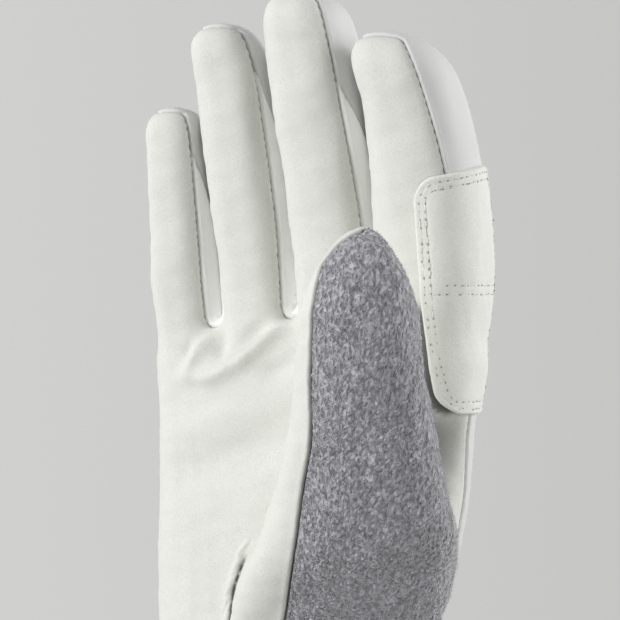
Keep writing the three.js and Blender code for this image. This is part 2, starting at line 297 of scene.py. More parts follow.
def relax(points, faces, rounds):
    """Evens out the spacing of the points."""
    edges = edges_of(faces)
    for _ in range(rounds):
        total = np.zeros_like(points)
        for k in range(3):
            total[:, k] = np.bincount(edges[:, 0], points[edges[:, 1], k], len(points))
        count = np.bincount(edges[:, 0], minlength=len(points))
        points = points + 0.5 * (total / np.maximum(count, 1)[:, None] - points)
    return points


class Surface:
    """Points, triangles and named values on the points, which are kept through every cut."""

    def __init__(self, points, faces):
        self.points = points
        self.faces = faces
        self.values = {}

    def cut(self, name, level=0.0):
        """Splits the triangles along the line where a value is at a level."""
        value = self.values[name] - level
        value = np.where(np.abs(value) < SNAP, 0.0, value)
        self.values[name] = value + level
        signs = np.sign(value)[self.faces]
        crossed = (signs.min(axis=1) < 0) & (signs.max(axis=1) > 0)
        faces = self.faces[crossed]
        if not len(faces):
            return
        pairs = np.sort(edges_of(faces), axis=1)
        ends = value[pairs]
        pairs = np.unique(pairs[ends[:, 0] * ends[:, 1] < 0], axis=0)
        share = value[pairs[:, 0]] / (value[pairs[:, 0]] - value[pairs[:, 1]])
        count = len(self.points)
        keys = pairs[:, 0] * count + pairs[:, 1]

        def between(a, b):
            low, high = np.minimum(a, b), np.maximum(a, b)
            return count + np.searchsorted(keys, low * count + high)

        mixed = share[:, None]
        self.points = np.concatenate([
            self.points, self.points[pairs[:, 0]] * (1 - mixed) + self.points[pairs[:, 1]] * mixed])
        for key, old in self.values.items():
            new = old[pairs[:, 0]] * (1 - share) + old[pairs[:, 1]] * share
            if key == name:
                new[:] = level
            self.values[key] = np.concatenate([old, new])
        signs = np.sign(value)[faces]
        made = []
        for shift in range(3):
            a, b, c = (faces[:, (shift + k) % 3] for k in range(3))
            sa, sb, sc = (signs[:, (shift + k) % 3] for k in range(3))
            alone = (sa * sb < 0) & (sa * sc < 0)
            a1, b1, c1 = a[alone], b[alone], c[alone]
            p, q = between(a1, b1), between(a1, c1)
            made += [np.stack(t, axis=1) for t in ((a1, p, q), (p, b1, c1), (p, c1, q))]
            edge = (sa == 0) & (sb * sc < 0)
            a1, b1, c1 = a[edge], b[edge], c[edge]
            p = between(b1, c1)
            made += [np.stack(t, axis=1) for t in ((a1, b1, p), (a1, p, c1))]
        self.faces = np.concatenate([self.faces[~crossed], *made])

    def middle(self, name):
        return self.values[name][self.faces].mean(axis=1)

    def part(self, keep):
        """The kept triangles as a surface of their own."""
        used, faces = np.unique(self.faces[keep], return_inverse=True)
        piece = Surface(self.points[used], faces.reshape(-1, 3))
        piece.values = {key: value[used] for key, value in self.values.items()}
        return piece


# Panels


def seam_weights(x, y, z):
    """How much each finger's own seams count at a place."""
    low = FINGERS[0]["rows"][0, Z] + 1
    near = np.stack([field(finger, x, y, np.maximum(z, low)) for finger in FINGERS])
    share = np.exp(-(near - near.min(axis=0)) / 1.5)
    return share / share.sum(axis=0)


def front_seam(finger, x, z):
    middle, half = read(finger, X, z), read(finger, HALF_WIDTH, z)
    across = np.clip((x - middle) / half, -1, 1)
    radial, ulnar = read(finger, RADIAL, z), read(finger, ULNAR, z)
    share = (radial + ulnar) / 2 + (radial - ulnar) / 2 * across
    over = ramp((z - finger["top"] + TIP_SEAM * finger["dome"]) / (TIP_SEAM * finger["dome"]))
    share = share * (1 - over) - 1.25 * over
    return read(finger, Y, z) + read(finger, HALF_DEPTH, z) * shrink_at(finger, z) * share


def strip_width(i, x, z):
    """How wide the strip beside a finger is: full at the crotch, running out near the lower tip."""
    finger = FINGERS[i]
    thumb_side = x > read(finger, X, z)
    neighbours = [FINGERS[max(i - 1, 0)]["top"], FINGERS[min(i + 1, 3)]["top"]]
    top = np.minimum(finger["top"], np.where(thumb_side, neighbours[1], neighbours[0]))
    taper = np.clip((top - FOURCHETTE_END - z) / FOURCHETTE_TAPER, 0, 1)
    back = read(finger, Y, z) + FOURCHETTE_BACK * read(finger, HALF_DEPTH, z)
    return taper * (back - front_seam(finger, x, z))


def front_value(x, y, z):
    weights = seam_weights(x, y, z)
    return sum(w * front_seam(f, x, z) for w, f in zip(weights, FINGERS)) - y


def back_value(x, y, z):
    weights = seam_weights(x, y, z)
    width = sum(w * strip_width(i, x, z) for i, w in enumerate(weights))
    between = (x > read(LITTLE, X, z)) & (x < read(INDEX, X, z)) & (z > CUFF_TOP + 60)
    return front_value(x, y, z) + np.where(between, width, 0)


def thumb_value(x, y, z):
    return hand_field(x, y, z) - field(THUMB, x, y, z)


def along_surface(value, points, outward):
    """A value turned into about the distance, along the surface, from where it is zero."""
    slope = gradient(value, points)
    slope -= outward * (slope * outward).sum(axis=1)[:, None]
    return value(*points.T) / np.clip(np.linalg.norm(slope, axis=1), 0.3, 3)


def measure_panels(surface):
    points = surface.points
    x, y, z = points.T
    outward = unit(gradient(glove_field, points))
    values = surface.values
    for name, value in (("front", front_value), ("back", back_value),
                        ("thumb", thumb_value), ("fleece", fleece_value)):
        values[name] = along_surface(value, points, outward)
    values["height"] = z - CUFF_TOP
    values["patch"] = np.minimum(patch_value(x, y, z), -thumb_value(x, y, z) - 0.5)
    values["line"] = np.abs(line_value(points))


def across_photo(points):
    """Places across the glove when it is seen as in the photo."""
    return points[:, 0] * ASIDE[0] + points[:, 1] * ASIDE[1]


def thumb_line_places():
    """The thumb line on the glove's surface: where a walk into the glove first meets it."""
    z = np.arange(LINE_LOW, LINE_TOP, 0.25)
    start = np.outer(read(THUMB_LINE, X, z), ASIDE) + np.outer(z, (0, 0, 1)) - 60 * SIGHT
    steps = np.arange(0.0, 60.0, 0.1)
    walk = start[:, None] + steps[:, None] * SIGHT
    met = glove_field(*np.moveaxis(walk, 2, 0)) < 0
    return start + np.outer(steps[met.argmax(axis=1)], SIGHT)


def line_value(points):
    """How far a place lies from the thumb line, negative on the palm's side of it."""
    line = thumb_line_places()
    away = np.full(len(points), FAR_FROM_LINE)
    near = np.flatnonzero((points[:, 2] < 95) & (points[:, 2] > 46) & (points[:, 1] < -6))
    for part in np.array_split(near, len(near) // 2000 + 1):
        gaps = points[part, None] - line
        away[part] = np.sqrt((gaps ** 2).sum(axis=2).min(axis=1))
    beside = across_photo(points) < read(THUMB_LINE, X, points[:, 2])
    return np.where(beside, -away, away)


def line_strength(points, top):
    """1 along the thumb line, running out at both ends."""
    z = points[:, 2]
    return ramp((z - LINE_LOW) / 8) * ramp((top - z) / 3)


def fleece_value(x, y, z):
    """How far inside the fleece's seams a place on the thumb lies."""
    u, v, a, b = local(THUMB, x, y, z)
    shrink = shrink_at(THUMB, z, FLEECE_TIP_INSET)
    left = u - read(THUMB, FLEECE_EDGE, z) * shrink
    top = THUMB["top"] - FLEECE_TIP_INSET - z + 0.8 * np.maximum(u + 1, 0)
    back = FLEECE_BACK * b * shrink - v
    return blend(blend(left, back, 2.0), top, 1.5)


def patch_value(x, y, z):
    """How far inside the patch's edge a place on the index finger lies."""
    heights, fronts = np.array(PATCH_FRONT).T[:, ::-1]
    edge = np.interp(z, heights, fronts)
    a, b = read(INDEX, HALF_WIDTH, z), read(INDEX, HALF_DEPTH, z)
    share = np.clip(np.abs((edge - read(INDEX, X, z)) / a), 0, 0.97)
    face = read(INDEX, Y, z) - b * (1 - share ** 2.5) ** 0.4
    s = x - edge + np.where(x > edge, np.maximum(0, y - face), 0)
    part = np.clip(s / PATCH_LENGTH, 0, 1)
    top = PATCH_TOP[0] + (PATCH_TOP[1] - PATCH_TOP[0]) * part
    bottom = PATCH_BOTTOM[0] + (PATCH_BOTTOM[1] - PATCH_BOTTOM[0]) * part
    back = read(INDEX, Y, z) + PATCH_BACK * b - y
    side = np.minimum(s, back)
    end = np.minimum(top - z, z - bottom)
    round_off = np.hypot(np.maximum(PATCH_CORNER - side, 0), np.maximum(PATCH_CORNER - end, 0))
    inside = np.minimum(side, end)
    corner = (side < PATCH_CORNER) & (end < PATCH_CORNER)
    return np.where(corner, PATCH_CORNER - round_off, inside)


SEAM_ROWS = (0.0, 0.25, 0.55, 1.0, 1.7)
LINE_ROWS = (0.2, 0.45, 0.8, 1.2, 1.7, 2.2)


def cut_panels(surface):
    for level in SEAM_ROWS:
        for side in {level, -level}:
            for name in ("front", "back", "thumb", "fleece"):
                surface.cut(name, side)
    for level in (0.0, 1.0, -1.0):
        surface.cut("height", level)
    for level in LINE_ROWS:
        surface.cut("line", level)
    surface.values["line"] = line_value(surface.points)


def label_panels(surface):
    """The panel that each triangle belongs to."""
    x = surface.points[surface.faces, 0].mean(axis=1)
    z = surface.points[surface.faces, 2].mean(axis=1)
    front, back = surface.middle("front"), surface.middle("back")
    panel = np.where(front > 0, "palm_leather", "back_fabric").astype(object)
    strip = (front < 0) & (back > 0)
    ring, middle = read(RING, X, z), read(MIDDLE, X, z)
    panel[strip & (x < ring)] = "fourchette_little_ring"
    panel[strip & (x >= ring) & (x < middle)] = "fourchette_ring_middle"
    panel[strip & (x >= middle)] = "fourchette_middle_index"
    thumb = surface.middle("thumb") > 0
    panel[thumb] = "thumb_leather"
    panel[thumb & (surface.middle("fleece") > 0)] = "thumb_fleece"
    panel[surface.middle("height") < 0] = "wrist_cuff"
    return panel


# Relief


def waves(points, size, seed, layers=10):
    """A smooth random relief, between about -1 and 1, with features of the given size."""
    rng = np.random.default_rng(seed)
    total = np.zeros(len(points))
    for _ in range(layers):
        direction = rng.normal(size=3)
        direction *= 2 * math.pi / (np.linalg.norm(direction) * size * rng.uniform(0.8, 1.6))
        total += np.sin(points @ direction + rng.uniform(0, 2 * math.pi))
    return total / math.sqrt(layers)


def along_seams(points, period, seed):
    """A ripple that runs along the seams, between 0 and 1."""
    wander = waves(points, 9, seed, 6)
    return 0.5 + 0.5 * np.sin(2 * math.pi * points[:, 2] / period + 1.6 * wander)


def inseam(value, ripple, z):
    """A seam sewn from inside: leather rolls into it, the fabric beside it stands up."""
    depth = (0.7 + 0.4 * ripple) * np.interp(z, (112.0, 134.0), (0.5, 1.0))
    roll = np.interp(z, (124.0, 140.0), (0.5, 0.95))
    leather = -depth * np.exp(-(np.maximum(value, 0) / roll) ** 1.35)
    fabric = -depth * bell(value, 0.26) + 0.2 * bell(value + 0.75, 0.4)
    return np.where(value > 0, leather, fabric)


def strip_seam(value, ripple):
    """The seam between two fabrics."""
    return -(0.4 + 0.2 * ripple) * bell(value, 0.45)


def fleece_seam(value):
    """The seam round the fleece: a narrow gap, whose leather edge is rolled."""
    leather = -1.1 * bell(value, 0.34) + 0.16 * bell(value + 1.1, 0.6)
    fleece = -1.1 * bell(value, 0.3) + 0.15 * (1 - bell(value, 0.9))
    return np.where(value > 0, fleece, leather)


def thumb_crease(points, value):
    """Where the thumb piece meets the index finger's side, a crease which the palm hardly shows."""
    x, y, z = points.T
    across = local(THUMB, x, y, z)[0]
    strength = np.where(across < 0, 0.1 * ramp((100 - z) / 10), 0.7)
    return -1.7 * strength * bell(value, 0.4)


def thumb_line(points, value, ripple):
    """The palm's ragged hem over the thumb piece, and the shallow crease under it, whose dark line is painted
    shade on the leather.
    """
    crease = -0.3 * line_strength(points, CREASE_TOP) * bell(value, 0.3)
    ragged = 0.2 * waves(points, 1.7, 41)
    raised = (0.4 + 0.25 * ripple + ragged) * np.exp(-(np.abs(value + 1.45) / 0.8) ** 3)
    return crease + line_strength(points, LINE_TOP) * raised


def strip_fullness(front, back, sideways):
    """The side strips stand out behind the seam, more on each finger's thumb side."""
    height = 0.75 + 0.5 * np.clip(3 * sideways, -1, 1)
    width = np.maximum(back - front, 0)
    across = np.clip(-front / np.maximum(width, 0.1), 0, 1)
    return height * ramp(width / 4) * (1 - bell(np.maximum(-front, 0), 2.2)) * (1 - across ** 3)


def seam_relief(surface, outward):
    values, points = surface.values, surface.points
    ripple = along_seams(points, 2.3, 11)
    hand = values["thumb"] < 0
    above = values["height"] > 0
    front, back = values["front"], values["back"]
    relief = np.zeros(len(points))
    for place, height in (
            (hand & above, inseam(front, ripple, points[:, 2])),
            (hand & above & (back - front > 0.3), strip_seam(back, ripple)),
            (hand & above & (front < 0), strip_fullness(front, back, outward[:, 0])),
            (~hand & above, fleece_seam(values["fleece"])),
            (above, thumb_crease(points, values["thumb"])),
            (True, thumb_line(points, values["line"], ripple))):
        relief = relief + np.where(place, height, 0)
    return relief - 0.55 * bell(values["height"], 0.5)


# Soft folds of the palm: from x, z to x, z, width and height.
FOLDS = (
    (-18.8, 141.0, -24.6, 131.9, 2.4, 1.8),
    (3.5, 143.0, -7.4, 134.2, 2.3, 2.2),
    (-7.4, 134.2, -17.7, 129.5, 2.6, 1.7),
    (-17.7, 129.5, -27.2, 129.5, 2.4, 0.9),
    (-2.5, 143.0, -9.5, 138.5, 2.7, -1.7),
    (-15.1, 139.5, -15.1, 134.5, 2.7, -1.5),
    (-24.6, 138.0, -26.0, 135.0, 2.4, -1.1),
    (9.0, 136.0, -1.0, 129.5, 3.4, -1.1),
    (-27.0, 113.0, -6.0, 120.0, 6.0, 0.5),
    (5.0, 115.5, -23.3, 104.0, 7.3, -1.6),
    (-30.0, 122.0, -12.0, 124.0, 4.5, -0.6),
)


# The hollow between the thumb's root and the hand's side, under the patch. It is sunk into the surface, and
# its leather is also darkened with painted shade.
SIDE_HOLLOW = (36.0, -10.5, 114.5)


def side_hollow(points):
    x, y, z = points.T
    hx, hy, hz = SIDE_HOLLOW
    away = np.hypot((y - hy) / 7.0, (z - hz) / np.where(z > hz, 6.0, 12.0))
    return np.exp(-away ** 2) * ramp((x - hx) / 6)


def painted_leather_shade(surface):
    """Painted shade on the leather, between 0 and 1: in the side hollow, along the thumb line, beside the
    patch's edge behind the thumb, and along the fleece's seam.
    """
    points, values = surface.points, surface.values
    x, y, z = points.T
    line = line_strength(points, CREASE_TOP) * np.exp(-(values["line"] / 0.5) ** 4)
    beside = ramp((values["patch"] + 2.8) / 1.2) * ramp((150 - z) / 5) * ramp((z - 118) / 4)
    gap = 0.85 * beside * ramp((-5 - y) / 3)
    seam = np.where(values["thumb"] > 0, 0.9 * bell(values["fleece"], 0.3), 0)
    return np.maximum.reduce([0.85 * side_hollow(points), line, gap, seam])


def fold_relief(points, front):
    x, y, z = points.T
    relief = np.zeros(len(points))
    for x0, z0, x1, z1, width, height in FOLDS:
        along = np.array([x1 - x0, z1 - z0])
        length = np.hypot(*along)
        t = np.clip(((x - x0) * along[0] + (z - z0) * along[1]) / length ** 2, 0, 1)
        away = np.hypot(x - x0 - t * along[0], z - z0 - t * along[1])
        ends = np.sin(math.pi * np.clip(0.12 + 0.76 * t, 0, 1)) ** 0.7
        relief += 1.3 * height * ends * bell(away, 0.88 * width)
    relief *= np.clip(front / 8, 0, 1)
    return relief - 3.0 * side_hollow(points)


def normals_of(points, faces):
    a, b, c = (points[faces[:, k]] for k in range(3))
    face = np.cross(b - a, c - a)
    total = np.zeros_like(points)
    for k in range(3):
        for axis in range(3):
            total[:, axis] += np.bincount(faces[:, k], face[:, axis], len(points))
    return unit(total)


# Blender objects


def smooth_mesh(name, points, faces):
    mesh = bpy.data.meshes.new(name)
    mesh.from_pydata(points, [], faces)
    mesh.polygons.foreach_set("use_smooth", np.ones(len(mesh.polygons), bool))
    return mesh


def placed_object(name, data):
    made = bpy.data.objects.new(name, data)
    bpy.context.scene.collection.objects.link(made)
    return made


def mesh_object(name, surface):
    return placed_object(name, smooth_mesh(name, (surface.points * MM).tolist(), surface.faces.tolist()))


def point_values(piece, name, values):
    piece.data.attributes.new(name, "FLOAT", "POINT").data.foreach_set("value", values)


def thicken(piece):
    wall = piece.modifiers.new("wall", "SOLIDIFY")
    wall.thickness = WALL * MM
    wall.offset = -1
    wall.use_rim = True


def finish_piece(piece, material, slot, *nodes):
    piece.data.materials.clear()
    piece.data.materials.append(material)
    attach(piece, "root")
    if nodes:
        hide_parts(*nodes)


# Materials


def arithmetic(operation, turned=False):
    def made(self, other):
        a, b = (other, self) if turned else (self, other)
        return self.shader.node("ShaderNodeMath", {"operation": operation}, {0: a, 1: b})
    return made


class Socket:
    """A shader socket, with the arithmetic of a Math node from both sides."""

    def __init__(self, shader, value):
        self.shader = shader
        self.value = value

    __add__, __radd__ = arithmetic("ADD"), arithmetic("ADD", True)
    __sub__, __rsub__ = arithmetic("SUBTRACT"), arithmetic("SUBTRACT", True)
    __mul__, __rmul__ = arithmetic("MULTIPLY"), arithmetic("MULTIPLY", True)


class Shader:
    """A material under a name, whose nodes are made and linked in one call each."""

    def __init__(self, name):
        self.material = bpy.data.materials.new(name)
        self.material.use_nodes = True
        self.tree = self.material.node_tree
        self.surface = self.tree.nodes["Principled BSDF"]

    def put(self, socket, value):
        if isinstance(value, Socket):
            self.tree.links.new(value.value, socket)
        else:
            socket.default_value = value

    def node(self, kind, settings=None, inputs=None, output=0):
        made = self.tree.nodes.new(kind)
        for key, value in (settings or {}).items():
            if key == "stops":
                ramp = made.color_ramp
                while len(ramp.elements) < len(value):
                    ramp.elements.new(0.5)
                for element, (place, colour) in zip(ramp.elements, value):
                    element.position = place
                    element.color = colour
            else:
                setattr(made, key, value)
        for key, value in (inputs or {}).items():
            self.put(made.inputs[key], value)
        return Socket(self, made.outputs[output])

    def set(self, **inputs):
        for key, value in inputs.items():
            self.put(self.surface.inputs[key.replace("_", " ")], value)

    def mix(self, factor, a, b):
        return self.node("ShaderNodeMix", {"data_type": "RGBA"}, {0: factor, 6: a, 7: b}, output=2)

    def place(self):
        return self.node("ShaderNodeTexCoord", output=3)

    def given(self, attribute):
        return self.node("ShaderNodeAttribute", {"attribute_name": attribute}, output=2)

    def noise(self, where, size, detail=2.0, roughness=0.5, output=0):
        """Noise with features of the given size in millimetres."""
        return self.node("ShaderNodeTexNoise", None, {
            "Vector": where, "Scale": 1 / (size * MM), "Detail": detail, "Roughness": roughness}, output)

    def fade(self, value, low, high, top=1.0):
        """From 0 where the value is low to top where it is high."""
        return self.node("ShaderNodeMapRange", None, {0: value, 1: low, 2: high, 3: 0.0, 4: top})

    def bump(self, height, strength, depth):
        return self.node("ShaderNodeBump", None, {
            "Strength": strength, "Distance": depth * MM, "Height": height})

    def vector_math(self, operation, *inputs, output=0):
        return self.node("ShaderNodeVectorMath", {"operation": operation}, dict(enumerate(inputs)), output)


CREAM = (1.0, 1.005, 0.95)
COOL = (1.0, 0.985, 1.075)
NEUTRAL = (1.0, 1.0, 0.985)


def tone(level, tint=NEUTRAL):
    """A linear colour from a display level between 0 and 255."""
    linear = (level / 255) ** 2.2
    return (linear * tint[0], linear * tint[1], linear * tint[2], 1)


def leather_material(name, level):
    shader = Shader(name)
    where = shader.place()
    mottle = shader.noise(where, 7.0, 4.0, 0.6)
    nap = shader.noise(where, 1.1, 5.0, 0.7)
    specks = shader.fade(nap, 0.55, 0.75, 0.5)
    colour = shader.mix(mottle, tone(level - 8, CREAM), tone(level + 3, CREAM))
    colour = shader.mix(specks, colour, tone(level + 14, CREAM))
    pores = shader.noise(where, 0.42, 2.0, 0.6)
    pits = shader.fade(pores, 0.52, 0.3)
    colour = shader.mix(pits * (mottle * 1.2 - 0.2), colour, tone(level - 27, CREAM))
    # Painted shade: where the point attribute asks, the leather is darkened towards a dark cream.
    colour = shader.mix(shader.given("shade"), colour, tone(65, CREAM))
    shader.set(Base_Color=colour, Roughness=0.8, Normal=shader.bump(nap * 0.6 + pores * 0.7, 0.7, 0.2),
               Specular_IOR_Level=0.25, Sheen_Weight=0.12, Sheen_Roughness=0.5)
    return shader.material


def fabric_material(name, level):
    shader = Shader(name)
    where = shader.place()
    mottle = shader.noise(where, 14.0, 2.0)
    knit = shader.node("ShaderNodeTexWave", {"wave_type": "BANDS", "bands_direction": "Z"}, {
        "Vector": where, "Scale": 1 / (4.2 * MM), "Distortion": 0.6, "Detail": 1.0})
    grain = shader.noise(where, 0.4, 2.0)
    colour = shader.mix(mottle, tone(level - 3), tone(level + 3))
    shader.set(Base_Color=colour, Roughness=0.7, Normal=shader.bump(knit * 0.5 + grain * 0.6, 0.2, 0.06),
               Specular_IOR_Level=0.35, Sheen_Weight=0.1, Sheen_Roughness=0.5)
    return shader.material


def fleece_material(name, level):
    shader = Shader(name)
    where = shader.place()
    pile = shader.given("pile")
    wander = shader.noise(where, 1.6, output=1)
    bent = shader.vector_math("MULTIPLY_ADD", wander, (0.9 * MM, 0.9 * MM, 0.9 * MM), where)
    upright = shader.vector_math("MULTIPLY", bent, (1, 1, 0.58))
    tuft = shader.noise(upright, 1.0, 2.0, 0.6)
    fine = shader.noise(where, 0.3, 3.0)
    lofty = shader.fade(tuft, 0.36, 0.62)
    # Partly the fleece's own uneven tone, partly painted shade: the colour is darker where the pile is low
    # between the tufts, lighter on tall tufts and fibres.
    stops = [(place, tone(level + step, COOL))
             for place, step in ((0.0, -84), (0.38, -24), (0.62, 4), (1.0, 36))]
    colour = shader.node("ShaderNodeValToRGB", {"stops": stops}, {
        "Fac": pile * 0.3 + lofty * 0.55 + fine * 0.3 - 0.08})
    shader.set(Base_Color=colour, Roughness=0.95, Normal=shader.bump(lofty * 0.9 + fine * 0.3, 1.0, 0.7),
               Specular_IOR_Level=0.1, Sheen_Weight=1.0, Sheen_Roughness=0.5)
    return shader.material


# Painted shade: the needle holes are beads in a darker cream, grey to pale, which stand for the shade inside
# the holes.
def hole_shade_material(name):
    shader = Shader(name)
    where = shader.place()
    shade = shader.mix(shader.noise(where, 2.0), tone(120, CREAM), tone(200, CREAM))
    shader.set(Base_Color=shade, Roughness=0.9)
    return shader.material


# Camera and studio


PHOTO_DISTANCE = 900.0
PHOTO_LENS = 200.0
PHOTO_AIM = (3.03, 1.41, 147.0)
LIT_PLACE = (0.0, 0.0, 0.14)


def make_camera():
    data = bpy.data.cameras.new("camera")
    data.lens = PHOTO_LENS
    data.sensor_width = 36.0
    camera = placed_object("camera", data)
    camera.location = (np.array(PHOTO_AIM) - SIGHT * PHOTO_DISTANCE) * MM
    camera.rotation_euler = (math.pi / 2, 0, PHOTO_TURN)
    bpy.context.scene.camera = camera


def soft_light(name, place, size, power):
    data = bpy.data.lights.new(name, "AREA")
    data.shape = "DISK"
    data.size = size
    data.energy = power
    light = placed_object(name, data)
    light.location = place
    light.rotation_mode = "QUATERNION"
    light.rotation_quaternion = (Vector(LIT_PLACE) - Vector(place)).to_track_quat("-Z", "Y")


# In metres, like the places and sizes of the lights.
STUDIO_RADIUS = 2.3
STUDIO_FLOOR = -0.3
STUDIO_CORNER = 0.2
STUDIO_HEIGHT = 2.2
STUDIO_SIDES = 96


def make_studio():
    """A pale round floor that curves up into a wall all round."""
    profile = [(0.0, STUDIO_FLOOR), (STUDIO_RADIUS - STUDIO_CORNER, STUDIO_FLOOR)]
    for step in range(1, 9):
        angle = step / 8 * math.pi / 2
        profile.append((STUDIO_RADIUS - STUDIO_CORNER + STUDIO_CORNER * math.sin(angle),
                        STUDIO_FLOOR + STUDIO_CORNER * (1 - math.cos(angle))))
    profile.append((STUDIO_RADIUS, STUDIO_HEIGHT))
    points, faces = [], []
    sides = STUDIO_SIDES
    for r, z in profile:
        for k in range(sides):
            angle = 2 * math.pi * k / sides
            points.append((r * math.cos(angle), r * math.sin(angle), z))
    for row in range(len(profile) - 1):
        for k in range(sides):
            a, b = row * sides + k, row * sides + (k + 1) % sides
            faces.append((a, b, b + sides, a + sides))
    floor = placed_object("studio_floor", smooth_mesh("studio_floor", points, faces))
    floor.data.materials.append(studio_glow_material("studio_painted_light"))
    world = bpy.data.worlds.new("studio_air")
    world.use_nodes = True
    sky = world.node_tree.nodes["Background"].inputs
    sky["Color"].default_value = (0.97, 0.98, 1.0, 1)
    sky["Strength"].default_value = 0.42
    bpy.context.scene.world = world
    bpy.context.scene.view_settings.view_transform = "Standard"


def studio_glow_material(name):
    """Pale paper shown by painted light: it glows, a little brighter on the camera's left and behind the
    glove, and darker on the camera's side.
    """
    shader = Shader(name)
    where = shader.place()
    side = shader.vector_math("DOT_PRODUCT", where, tuple(ASIDE), output=1)
    depth = shader.vector_math("DOT_PRODUCT", where, tuple(SIGHT), output=1)
    light = shader.mix(shader.fade(side, -0.35, 0.35), tone(202), tone(190))
    light = shader.mix(shader.fade(depth, -2.0, 1.6), tone(95), light)
    shader.set(Base_Color=tone(70), Roughness=0.95, Emission_Color=light, Emission_Strength=1.0,
               Specular_IOR_Level=0.0)
    return shader.material


def around(degrees, distance, height):
    """A place round the glove, by its angle to the right of the camera."""
    angle = PHOTO_TURN + math.radians(degrees)
    return (distance * math.sin(angle), -distance * math.cos(angle), height)


def make_lights():
    soft_light("key", around(-60, 1.4, 0.5), 0.9, 17.8)
    soft_light("fill", around(54, 1.5, 0.3), 1.0, 6.6)
    soft_light("rim", around(105, 1.3, 0.5), 0.6, 9)


# Repeated small pieces


def points_object(name, points, along, outward):
    """A mesh of loose points that carry the directions of what is set on them."""
    mesh = bpy.data.meshes.new(name)
    mesh.from_pydata((points * MM).tolist(), [], [])
    for key, value in (("along", along), ("outward", outward)):
        mesh.attributes.new(key, "FLOAT_VECTOR", "POINT").data.foreach_set("vector", value.ravel())
    return placed_object(name, mesh)


class Geometry:
    """A geometry node group, whose nodes are made and linked in one call each."""

    def __init__(self, name, *sockets):
        self.group = bpy.data.node_groups.new(name, "GeometryNodeTree")
        self.group.interface.new_socket("Geometry", in_out="OUTPUT", socket_type="NodeSocketGeometry")
        self.names = {}
        shared = [("Geometry", "Geometry"), ("Piece", "Object"), ("Material", "Material")]
        for label, kind in [*shared, *sockets]:
            made = self.group.interface.new_socket(label, in_out="INPUT", socket_type="NodeSocket" + kind)
            self.names[label] = made.identifier
        self.start = self.group.nodes.new("NodeGroupInput")

    def given(self, label):
        return self.start.outputs[label]

    def node(self, kind, settings=None, inputs=None, output=0):
        made = self.group.nodes.new(kind)
        for key, value in (settings or {}).items():
            setattr(made, key, value)
        for key, value in (inputs or {}).items():
            if isinstance(value, bpy.types.NodeSocket):
                self.group.links.new(value, made.inputs[key])
            else:
                made.inputs[key].default_value = value
        return made.outputs[output]

    def named(self, attribute):
        return self.node("GeometryNodeInputNamedAttribute", {"data_type": "FLOAT_VECTOR"}, {
            "Name": attribute})

    def finish(self, points, turn, **inputs):
        """Sets the given piece on the points, as real geometry in the given material."""
        piece = self.node("GeometryNodeObjectInfo", None, {"Object": self.given("Piece")}, output="Geometry")
        placed = self.node("GeometryNodeInstanceOnPoints", None, {
            "Points": points, "Instance": piece, "Rotation": turn, **inputs})
        real = self.node("GeometryNodeRealizeInstances", None, {"Geometry": placed})
        painted = self.node("GeometryNodeSetMaterial", None, {
            "Geometry": real, "Material": self.given("Material")})
        end = self.group.nodes.new("NodeGroupOutput")
        self.group.links.new(painted, end.inputs[0])


def grown(name, base, geometry, inputs):
    """What a node group makes of an object, as a plain mesh object."""
    step = base.modifiers.new("grow", "NODES")
    step.node_group = geometry.group
    for label, value in inputs.items():
        step[geometry.names[label]] = value
    graph = bpy.context.evaluated_depsgraph_get()
    mesh = bpy.data.meshes.new_from_object(base.evaluated_get(graph))
    base.modifiers.remove(step)
    mesh.name = name
    return placed_object(name, mesh)


def row_group():
    """Sets one small object on each point, turned along the row."""
    work = Geometry("row_of_pieces")
    up = work.node("FunctionNodeAlignRotationToVector", {"axis": "Z"}, {"Vector": work.named("outward")})
    turned = work.node("FunctionNodeAlignRotationToVector", {"axis": "X", "pivot_axis": "Z"}, {
        "Rotation": up, "Vector": work.named("along")})
    work.finish(work.given("Geometry"), turned)
    return work


def fibre_group():
    """Scatters fibres over a surface, leaning a little every way."""
    work = Geometry("fibres", ("Density", "Float"), ("Lean", "Float"), ("Seed", "Int"))
    spread = work.group.nodes.new("GeometryNodeDistributePointsOnFaces")
    for key, label in (("Mesh", "Geometry"), ("Density", "Density"), ("Seed", "Seed")):
        work.group.links.new(work.given(label), spread.inputs[key])
    lean = work.node("FunctionNodeRandomValue", {"data_type": "FLOAT_VECTOR"}, {
        "Min": (-1, -1, -1), "Max": (1, 1, 1), "Seed": 7})
    scaled = work.node("ShaderNodeVectorMath", {"operation": "SCALE"}, {
        0: lean, "Scale": work.given("Lean")})
    way = work.node("ShaderNodeVectorMath", {"operation": "ADD"}, {0: scaled, 1: spread.outputs["Normal"]})
    up = work.node("FunctionNodeAlignRotationToVector", {"axis": "Z"}, {"Vector": way})
    size = work.node("FunctionNodeRandomValue", {"data_type": "FLOAT"}, {
        2: 0.55, 3: 1.25, "Seed": 3}, output=1)
    work.finish(spread.outputs["Points"], up, Scale=size)
    return work


def small_object(name, points, faces):
    """A shape for the node groups to copy, kept out of the scene."""
    return bpy.data.objects.new(name, smooth_mesh(name, (np.array(points, float) * MM).tolist(), faces))


def bead_shape(name, length, width, height, sides=8, rings=5):
    """A long bead along X, such as one stitch."""
    points, faces = [(-length / 2, 0, 0)], []
    for ring in range(1, rings):
        angle = math.pi * ring / rings
        share = math.sin(angle) ** 0.6
        for side in range(sides):
            turn = 2 * math.pi * side / sides
            points.append((-length / 2 * math.cos(angle), width / 2 * share * math.cos(turn),
                           height / 2 * share * math.sin(turn)))
    points.append((length / 2, 0, 0))
    for side in range(sides):
        after = (side + 1) % sides
        faces.append((0, 1 + after, 1 + side))
        for ring in range(rings - 2):
            a, b = 1 + ring * sides + side, 1 + ring * sides + after
            faces.append((a, b, b + sides, a + sides))
        last = 1 + (rings - 2) * sides
        faces.append((last + side, last + after, len(points) - 1))
    return small_object(name, points, faces)


